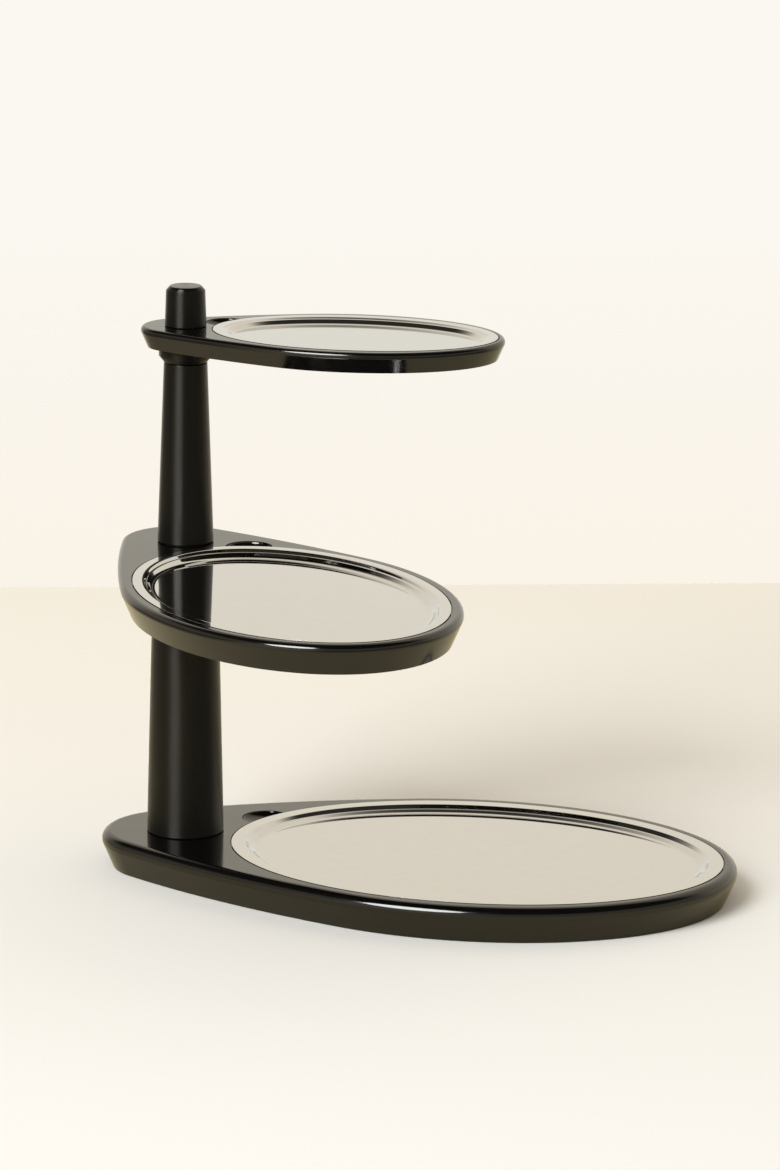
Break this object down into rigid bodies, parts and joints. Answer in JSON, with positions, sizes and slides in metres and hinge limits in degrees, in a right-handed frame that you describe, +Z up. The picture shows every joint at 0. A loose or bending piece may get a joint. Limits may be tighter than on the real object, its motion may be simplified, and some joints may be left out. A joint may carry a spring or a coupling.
{
  "type": "swivel serving stand",
  "caption": "Tiered serving stand with teardrop shelves that swivel on an offset tapered column, each with a lift-out oval steel tray.",
  "frame": {"origin": "on the column's axis, at the level of the table the feet stand on", "axes": "+Z up along the column, +X along the arm of the lowest tier, +Y to that arm's left"},
  "size_m": [0.4164, 0.3629, 0.383],
  "materials": {
    "gloss_moulding": "high gloss black",
    "satin_moulding": "satin black",
    "tray_sheet": "mirror polished stainless",
    "zinc_steel": "zinc plated",
    "brass": "turned",
    "nylon": "natural",
    "rubber": "matt black"
  },
  "bodies": {
    "stand": {"base_shell": "gloss_moulding", "base_cover": "satin_moulding", "base_cover_screw_1": "zinc_steel", "base_cover_screw_2": "zinc_steel", "base_cover_screw_3": "zinc_steel", "base_cover_screw_4": "zinc_steel", "base_cover_screw_5": "zinc_steel", "foot_1": "rubber", "foot_2": "rubber", "foot_3": "rubber", "foot_4": "rubber", "foot_5": "rubber", "rod_nut": "zinc_steel", "rod_washer": "zinc_steel", "tie_rod": "zinc_steel", "lower_column": "satin_moulding", "lower_collar": "satin_moulding", "middle_lower_washer": "nylon", "middle_bush": "zinc_steel", "middle_upper_washer": "nylon", "middle_clamp_disc": "zinc_steel", "upper_column": "satin_moulding", "upper_collar": "satin_moulding", "top_lower_washer": "nylon", "top_bush": "zinc_steel", "top_upper_washer": "nylon", "top_clamp_disc": "zinc_steel", "knob": "satin_moulding", "knob_insert": "brass"},
    "middle_tier": {"middle_shelf": "gloss_moulding", "middle_cover": "satin_moulding", "middle_cover_screw_1": "zinc_steel", "middle_cover_screw_2": "zinc_steel", "middle_cover_screw_3": "zinc_steel", "middle_cover_screw_4": "zinc_steel"},
    "top_tier": {"top_shelf": "gloss_moulding", "top_cover": "satin_moulding", "top_cover_screw_1": "zinc_steel", "top_cover_screw_2": "zinc_steel", "top_cover_screw_3": "zinc_steel"},
    "base_tray": {"base_tray": "tray_sheet"},
    "middle_tray": {"middle_tray": "tray_sheet"},
    "top_tray": {"top_tray": "tray_sheet"}
  },
  "joints": [
    {"name": "middle_swivel", "type": "hinge", "parent": "stand", "child": "middle_tier", "pos_m": [0, 0, 0.2069], "axis": [0, 0, 1], "continuous": true},
    {"name": "top_swivel", "type": "hinge", "parent": "stand", "child": "top_tier", "pos_m": [0, 0, 0.3506], "axis": [0, 0, 1], "continuous": true},
    {"name": "base_tray_lift", "type": "slide", "parent": "stand", "child": "base_tray", "axis": [0, 0, 1], "range_m": [0, 0.06]},
    {"name": "middle_tray_lift", "type": "slide", "parent": "middle_tier", "child": "middle_tray", "axis": [0, 0, 1], "range_m": [0, 0.06]},
    {"name": "top_tray_lift", "type": "slide", "parent": "top_tier", "child": "top_tray", "axis": [0, 0, 1], "range_m": [0, 0.06]}
  ]
}
